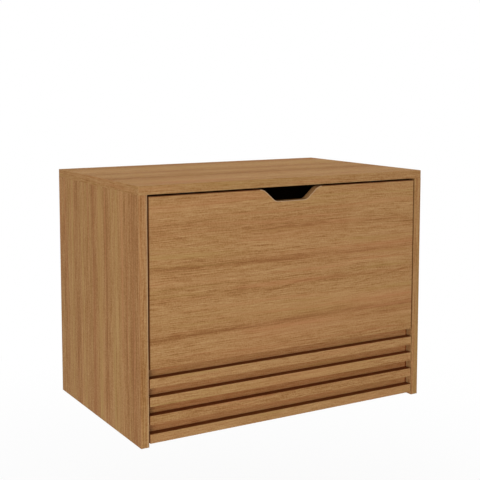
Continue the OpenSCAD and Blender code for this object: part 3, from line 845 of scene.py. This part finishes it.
@dataclass
class Slab:
    """A printed board with edge bands and softly rounded arrises, in the place of a CAD node.

    An outline is carried through the thickness, and drawn in along a quarter circle at both faces.
    The bands and the other face are cut from the sheet further across it, by their shifts.
    """

    name: str
    node: str
    body: str
    facing: Facing
    finish: Oak
    slot: str
    grain_up: bool = False
    show_high: bool = True
    corner: float = 0.6 * MM
    arris: float = 0.25 * MM
    arris_steps: int = 4
    rim: float = 1.2 * MM
    rim_fade: float = 0.4 * MM
    rims: tuple[Rim, ...] = ()
    # The share of painted shade on the edge bands.
    painted_shade: float = 0.0
    band_lean: float = 1.0
    other_shift: float = 3.0
    band_shift: float = 7.3

    def corners(self) -> list[tuple[float, float, float]]:
        """The places and radii of the outline's corners, here of the node's own rectangle."""
        low, high = self.facing.box(self.node)
        return [(low[0], low[1], self.corner), (high[0], low[1], self.corner),
                (high[0], high[1], self.corner), (low[0], high[1], self.corner)]

    def share(self, kind: str, count: int) -> np.ndarray:
        """How much of the painted highlight or painted shade each of the outline's points has."""
        return np.ones(count)

    def build(self) -> bpy.types.Object:
        """Makes the board and dresses it.

        A normal has its lean's cosine in the board's plane and its sine out of it.

        Returns:
            The board.
        """
        low, high = self.facing.box(self.node)
        profile = self._profile(low[2], high[2])
        outlines = [rounded_outline(self.corners(), inset) for inset in profile.drawn_in]
        flat, sideways = (np.stack(part) for part in zip(*outlines))
        rings, count = flat.shape[:2]
        basis, lean = np.array(self.facing.value), profile.lean[:, None, None]
        points = flat @ basis[:2] + profile.depth[:, None, None] * basis[2]
        normals = sideways * np.cos(lean) @ basis[:2] + np.sin(lean) * basis[2]
        caps = [np.arange(count)[::-1], np.arange(count) + (rings - 1) * count]
        piece = add_mesh(self.name, points.reshape(-1, 3), normals.reshape(-1, 3),
                         [*ring_quads(rings, count), *caps])

        self._map_grain(piece, profile, flat)
        for kind, values in self._strips(profile, sideways[0]).items():
            carried = piece.data.attributes.new(kind, "FLOAT", "POINT")
            carried.data.foreach_set("value", values.astype(np.float32).ravel())
        piece.data.materials.append(self.finish.material())
        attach(piece, self.body)
        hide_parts(self.node)
        return piece

    def _profile(self, low: float, high: float) -> Profile:
        """The board's rings: for each face two on the band, a quarter circle and two on the face.

        At an angle a of the quarter circle a ring is drawn in by the arris times 1 - cos(a), and
        sunk from the face by the arris times 1 - sin(a).

        Args:
            low: The low face's depth.
            high: The high face's depth.

        Returns:
            The rings, from the low face to the high one.
        """
        reach = self.rim + self.rim_fade
        fits = min(1.0, (high - low) / 4 / reach)
        quarter = np.linspace(0.0, math.pi / 2, self.arris_steps + 1)
        lean = np.concatenate([[0.0, 0.0], quarter, [math.pi / 2] * 2])
        back = np.concatenate([[reach * fits, self.rim * fits], np.zeros(len(quarter) + 2)])
        inner = np.concatenate([np.zeros(len(quarter) + 2), [self.rim, reach]])
        drawn_in = self.arris * (1.0 - np.cos(lean)) + inner
        sunk = self.arris * (1.0 - np.sin(lean)) + back
        along = self.arris * lean - back + inner
        halves = ((-lean, lean), (drawn_in, drawn_in), (low + sunk, high - sunk),
                  (low - along, high + along))
        return Profile(*(np.concatenate([lower[::-1], upper]) for lower, upper in halves))

    def _strips(self, profile: Profile, normals: np.ndarray) -> dict[str, np.ndarray]:
        """How much painted highlight and painted shade each point has, from the bands' painted
        shade and the rims.

        Args:
            profile: The board's rings.
            normals: The outline's outward normals.

        Returns:
            For the painted highlight and the painted shade, one row a ring.
        """
        rings, count = len(profile.depth), len(normals)
        strips = {kind: np.zeros((rings, count)) for kind in (PAINTED_HIGHLIGHT, PAINTED_SHADE)}
        strips[PAINTED_SHADE][np.abs(profile.lean) < self.band_lean] = self.painted_shade
        for rim in self.rims:
            strip = rim.values(rings, 2 + self.arris_steps // 2, normals)
            strips[rim.kind] = np.maximum(strips[rim.kind], strip)
        return {kind: values * self.share(kind, count) for kind, values in strips.items()}

    def _map_grain(self, piece: bpy.types.Object, profile: Profile, flat: np.ndarray) -> None:
        """Lays the print on the board, in metres.

        On an edge band u is the length round the outline and v the length through the thickness.
        On a face u is the place along the grain and v the place across it.

        Args:
            piece: The board.
            profile: The board's rings.
            flat: Each ring's points in the board's plane.
        """
        rings, count = flat.shape[:2]
        edge = flat[rings // 2]
        steps = np.linalg.norm(np.roll(edge, -1, axis=0) - edge, axis=1)
        around = np.concatenate([[0.0], np.cumsum(steps)])
        ring = np.repeat(np.arange(rings - 1), count)[:, None] + np.array([0, 0, 1, 1])
        here = np.tile(np.arange(count), rings - 1)[:, None] + np.array([0, 1, 1, 0])
        band = np.stack([around[here], profile.through[ring] + self.band_shift], axis=2)

        faces = flat[:, :, ::-1].copy() if self.grain_up else flat.copy()
        other = profile.lean < 0.0 if self.show_high else profile.lean > 0.0
        faces[other, :, 1] += self.other_shift
        level = np.isclose(np.abs(profile.lean), math.pi / 2)
        on_face = (level[ring[:, 0]] & level[ring[:, 2]])[:, None, None]
        quads = np.where(on_face, faces[ring, here % count], band).reshape(-1, 2)
        layer = piece.data.uv_layers.new(name=GRAIN_MAP)
        uv = np.concatenate([quads, faces[0][::-1], faces[-1]])
        layer.data.foreach_set("uv", uv.astype(np.float32).ravel())


@dataclass
class PullSlab(Slab):
    """The flap's upper panel, whose top edge has the pull cut-out."""

    top_width: float = 118 * MM
    bottom_width: float = 66 * MM
    depth: float = 23 * MM
    shoulder: float = 22 * MM
    inner: float = 16 * MM

    CUT_OUT_CORNERS = (3, 6)

    def corners(self) -> list[tuple[float, float, float]]:
        """The rectangle's corners, with the cut-out's four between the upper two.

        Returns:
            Each corner's place and radius, anticlockwise.
        """
        plain = super().corners()
        top = plain[2][1]
        half_top, half_bottom = self.top_width / 2, self.bottom_width / 2
        return [*plain[:3],
                (half_top, top, self.shoulder), (half_bottom, top - self.depth, self.inner),
                (-half_bottom, top - self.depth, self.inner), (-half_top, top, self.shoulder),
                plain[3]]

    def share(self, kind: str, count: int) -> np.ndarray:
        """The painted highlight lies along the cut-out, and the painted shade on the rest of the
        outline.

        Args:
            kind: The painted highlight or the painted shade.
            count: How many points the outline has.

        Returns:
            A share from 0 to 1 for each point.
        """
        arc = count // len(self.corners())
        first, last = self.CUT_OUT_CORNERS
        cut_out = np.zeros(count)
        cut_out[arc * first + 1:arc * (last + 1) - 1] = 1.0
        return cut_out if kind == PAINTED_HIGHLIGHT else 1.0 - cut_out


@dataclass
class CoverCaps:
    """The push-in caps over the cams on the side panels' inner faces."""

    node: str = "cam_covers"
    name: str = "cam_cover_caps"
    body: str = "cabinet"
    slot: str = "brown_plastic"
    rim: float = 0.5 * MM
    rim_lean: float = 0.3
    rings: int = 6
    sides: int = 40

    def build(self) -> bpy.types.Object:
        """Makes the domed caps and dresses them.

        Returns:
            All caps as one piece.
        """
        low, high = Facing.TOP.box(self.node)
        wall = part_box("side_panel_right")[0].x
        radius, middle = (high[2] - low[2]) / 2, (low[2] + high[2]) / 2
        across = np.array([vertex.co.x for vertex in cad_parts[self.node].data.vertices])
        height = wall - across[across > wall / 2].min()
        cap, lean, cap_faces = self._cap(radius, height)
        points, normals, faces = [], [], []
        for side in (-1, 1):
            upright = np.array([[0, -side, 0], [0, 0, 1], [-side, 0, 0]])
            for y in (low[1] + radius, high[1] - radius):
                faces += [face + len(points) * len(cap) for face in cap_faces]
                points.append(cap @ upright + (side * wall, y, middle))
                normals.append(lean @ upright)
        piece = add_mesh(self.name, np.concatenate(points), np.concatenate(normals), faces)
        piece.data.materials.append(BROWN_PLASTIC.material())
        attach(piece, self.body)
        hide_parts(self.node)
        return piece

    def _cap(self, radius: float, height: float) -> tuple[np.ndarray, np.ndarray, list]:
        """One cap on the origin, domed towards Z.

        The profile rises straight by the rim and then follows a quarter of an ellipse to the
        middle, and is turned about Z.

        Args:
            radius: The cap's radius.
            height: The cap's height.

        Returns:
            The points, their outward normals and the faces.
        """
        sweep = np.linspace(0.0, math.pi / 2, self.rings + 1)[1:]
        dome = height - self.rim
        points = turned([radius, radius, *radius * np.cos(sweep)],
                        [0.0, self.rim, *self.rim + dome * np.sin(sweep)], self.sides)
        normals = turned([1.0, 1.0, *dome * np.cos(sweep)],
                         [0.0, self.rim_lean, *radius * np.sin(sweep)], self.sides)
        normals /= np.linalg.norm(normals, axis=1, keepdims=True)
        top = fan(self.rings * self.sides, self.sides, len(points) - 1)
        bottom = np.arange(self.sides)[::-1]
        return points, normals, [*ring_quads(self.rings + 1, self.sides), *top, bottom]


# Sub-assemblies


def dress(finish: Finish, *nodes: str) -> None:
    """Gives CAD nodes that finish alone.

    Args:
        finish: The finish.
        nodes: The nodes' names.
    """
    for name in nodes:
        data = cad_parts[name].data
        data.materials.clear()
        data.materials.append(finish.shared())
        LOG.info("dressed %s in %s", name, finish.name)


@dataclass
class Carcass:
    """The box: its printed boards, back panel, rails, joints and covers."""

    boards: tuple[Slab, ...] = (
        # The top board's edge bands take a little painted shade.
        Slab("top_board", "top_panel", "cabinet", Facing.TOP, OAK_TOP, "oak_print_top",
             painted_shade=0.09),
        # The pale band along the left side panel's front edge is a painted highlight.
        Slab("side_board_left", "side_panel_left", "cabinet", Facing.SIDE, OAK_SIDE,
             "oak_print_side", grain_up=True, show_high=False, rim=1.6 * MM, rim_fade=1.6 * MM,
             rims=(Rim(PAINTED_HIGHLIGHT, 0.30, False, (-1.0, 0.0)),)),
        Slab("side_board_right", "side_panel_right", "cabinet", Facing.SIDE, OAK_SIDE,
             "oak_print_side", grain_up=True, other_shift=5.2),
    )

    def build(self) -> list[bpy.types.Object]:
        """Makes the boards and covers, and dresses what stays of the CAD.

        Returns:
            The new pieces.
        """
        dress(OAK_INSIDE, "base_panel", "hanging_rail_upper", "hanging_rail_lower")
        dress(HARDBOARD, "back_panel")
        dress(CAM_ZINC, "top_cam_discs", "base_cam_discs", "rail_cam_discs")
        dress(PLATED, "top_cam_bolts", "base_cam_bolts", "rail_cam_bolts", "back_panel_nails")
        dress(BEECH, "top_dowels", "base_dowels", "rail_dowels")
        return [*(board.build() for board in self.boards), CoverCaps().build()]


@dataclass
class Flap:
    """The drop-down leaf: its upper panel, four slats and the board behind them."""

    slat_count: int = 4
    # Painted shade: the dark tint on the flap's edge bands and the dark rims along its sides and
    # top, for the shade in the gaps.
    painted_shade: float = 0.95
    slat_painted_shade: float = 0.85
    corner: float = 1.0 * MM
    arris: float = 0.5 * MM
    dark_rim: float = 0.7 * MM
    dark_sides: tuple[tuple[float, float], ...] = ((-1.0, 0.0), (1.0, 0.0), (0.0, 1.0))

    def build(self) -> list[bpy.types.Object]:
        """Makes the panel and the slats, and dresses the back board and screws.

        Returns:
            The new pieces.
        """
        dress(OAK_RECESS, "flap_back_board")
        dress(PLATED, "slat_screws", "flap_panel_screws")
        # The dark rims beside the gaps are painted shade.
        dark = (Rim(PAINTED_SHADE, 0.85, way=way) for way in self.dark_sides)
        # The pale rim round the pull cut-out is a painted highlight.
        panel = PullSlab("flap_board", "flap_panel", "front_flap", Facing.FRONT, OAK_FLAP,
                         "oak_print_front", painted_shade=self.painted_shade, corner=self.corner,
                         arris=self.arris, rim=self.dark_rim, rims=(*dark, Rim(PAINTED_HIGHLIGHT, 0.8)))
        # The slats' edge bands are darkened as painted shade, for the shade on their tops in the
        # recesses.
        slats = [Slab(f"slat_board_{i + 1}", f"flap_slat_{i + 1}", "front_flap", Facing.FRONT,
                      OAK_SLATS[i], "oak_print_front", painted_shade=self.slat_painted_shade)
                 for i in range(self.slat_count)]
        return [piece.build() for piece in (panel, *slats)]


@dataclass
class Fittings:
    """The hinge, the stays and the catches."""

    hands: tuple[str, str] = ("left", "right")

    def build(self) -> list[bpy.types.Object]:
        """Dresses the fittings.

        Returns:
            No new pieces.
        """
        dress(HINGE_STEEL, "hinge_base_leaf", "hinge_flap_leaf", "hinge_pin")
        dress(PLATED, "hinge_base_screws", "hinge_flap_screws", "catch_screws", "strike_screws")
        for hand in self.hands:
            dress(STAY_STEEL, f"stay_guide_{hand}", f"stay_arm_{hand}", f"stay_bracket_{hand}",
                  f"strike_plate_{hand}")
            dress(PLATED, f"guide_screws_{hand}", f"bracket_screws_{hand}")
            dress(RIVET_STEEL, f"shoe_rivet_{hand}", f"bracket_rivet_{hand}")
            dress(WHITE_NYLON, f"slide_shoe_{hand}")
            dress(BROWN_PLASTIC, f"catch_housing_{hand}")
            dress(FERRITE, f"catch_magnet_{hand}")
        return []


# The studio


@dataclass
class Lamp:
    """A soft lamp. Its level is the share of plain light on a surface that faces it."""

    name: str
    place: tuple[float, float, float]
    level: float
    width: float
    height: float

    def build(self, aim: tuple[float, float, float]) -> None:
        """Sets up the lamp.

        The light of a lamp of P watts at a distance d gives pi * pi * d * d / P of plain light.

        Args:
            aim: What the lamp points at.
        """
        data = bpy.data.lights.new(self.name, "AREA")
        lamp = add_object(self.name, data)
        way = np.array(aim) - np.array(self.place)
        data.shape = "RECTANGLE"
        data.size, data.size_y = self.width, self.height
        data.energy = self.level * math.pi ** 2 * float(way @ way)
        lamp.location = self.place
        lamp.rotation_euler = (math.atan2(math.hypot(way[0], way[1]), -way[2]), 0.0,
                               math.atan2(way[1], way[0]) - math.pi / 2)
        lamp.visible_camera = False


@dataclass
class Studio:
    """The pale floor, the soft light and the camera."""

    floor_z: float = -0.30
    floor_rings: tuple[float, ...] = (0.6, 1.2, 2.4, 4.5, 7.0)
    floor_sides: int = 96
    floor_grey: Colour = (0.86, 0.86, 0.86)
    floor_white: float = 0.90
    whiter_span: tuple[float, float] = (0.35, 1.5)
    ambient: float = 0.50
    aim: tuple[float, float, float] = (0.0, 0.0, 0.22)
    lamps: tuple[Lamp, ...] = (
        Lamp("key", (-3.10, -3.50, 0.05), 0.645, 2.4, 1.0),
        Lamp("overhead", (0.0, 0.2, 2.6), 0.47, 2.0, 2.0),
        Lamp("right", (2.70, 0.40, 0.60), 0.20, 1.4, 0.9),
    )
    eye: tuple[float, float, float] = (-0.971, -1.670, 0.616)
    turn: float = 30.25
    dip: float = 5.77
    focal_pixels: float = 990.6
    picture_pixels: float = 480.0
    sensor: float = 36.0
    shift: float = -0.12

    def build(self) -> None:
        """Sets up the view transform, the floor, the light and the camera."""
        bpy.context.scene.view_settings.view_transform = "Standard"
        self._add_floor()
        self._light_world()
        for lamp in self.lamps:
            lamp.build(self.aim)
        self._set_camera()

    def _add_floor(self) -> None:
        """Makes the floor: a disc of rings about the object, which fades to white outwards."""
        out = [*self.floor_rings, 0.0]
        points = turned(out, [self.floor_z] * len(out), self.floor_sides)
        normals = np.tile([0.0, 0.0, 1.0], (len(points), 1))
        quads = ring_quads(len(self.floor_rings), self.floor_sides)[:, [0, 3, 2, 1]]
        inner = fan(0, self.floor_sides, len(points) - 1)
        floor = add_mesh("studio_floor", points, normals, [*quads, *inner])

        made = bpy.data.materials.new("floor_paper")
        graph = Graph(made)
        x, y, _ = graph.parts(graph.place())
        away = (x * x + y * y) ** 0.5
        paper = graph.noise(graph.place(), 380.0, 2.0)
        grey = graph.node("ShaderNodeVectorMath", {"operation": "SCALE"},
                          {0: self.floor_grey, "Scale": paper * 0.03 + 1.0})
        matt = graph.node("ShaderNodeBsdfPrincipled", None,
                          {"Base Color": grey, "Roughness": 1.0, "Specular IOR Level": 0.0})
        white = graph.node("ShaderNodeEmission", None, {"Color": (1.0, 1.0, 1.0), "Strength": 1.0})
        whiter = away.step(*self.whiter_span) * (1.0 - self.floor_white) + self.floor_white
        share = self._seen(graph) * whiter
        mixed = graph.node("ShaderNodeMixShader", None, {0: share, 1: matt, 2: white})
        graph.node_output("ShaderNodeOutputMaterial", mixed)
        floor.data.materials.append(made)

    @staticmethod
    def _seen(graph: Graph) -> Field:
        """1 for rays that see the background: straight, mirrored or through glass."""
        rays = graph.node("ShaderNodeLightPath").socket.node
        seen = [Field(graph, rays.outputs[name])
                for name in ("Is Camera Ray", "Is Glossy Ray", "Is Transmission Ray")]
        return (seen[0] + seen[1] + seen[2]).held()

    def _light_world(self) -> None:
        """Lights the scene softly from all sides, before a white background."""
        world = bpy.data.worlds.new("studio")
        bpy.context.scene.world = world
        graph = Graph(world)
        seen = self._seen(graph)
        strength = seen + (1.0 - seen) * self.ambient
        light = graph.node("ShaderNodeBackground", None,
                           {"Color": (1.0, 1.0, 1.0), "Strength": strength})
        graph.node_output("ShaderNodeOutputWorld", light)

    def _set_camera(self) -> None:
        """Sets the camera at the photograph's place, tilted down and shifted."""
        data = bpy.data.cameras.new("camera")
        camera = add_object("camera", data)
        data.sensor_width = self.sensor
        data.lens = self.focal_pixels / self.picture_pixels * self.sensor
        data.shift_y = self.shift
        camera.location = self.eye
        camera.rotation_euler = (math.radians(90.0 - self.dip), 0.0, math.radians(-self.turn))
        bpy.context.scene.camera = camera


def main() -> None:
    """Builds the cabinet's sub-assemblies in order, reports each piece, and sets up the studio."""
    logging.basicConfig(level=logging.INFO, format="%(name)s: %(message)s")
    for part in (Carcass(), Flap(), Fittings()):
        for piece in part.build():
            LOG.info("built %s with %d faces", piece.name, len(piece.data.polygons))
    Studio().build()


if __name__ == "__main__":
    main()
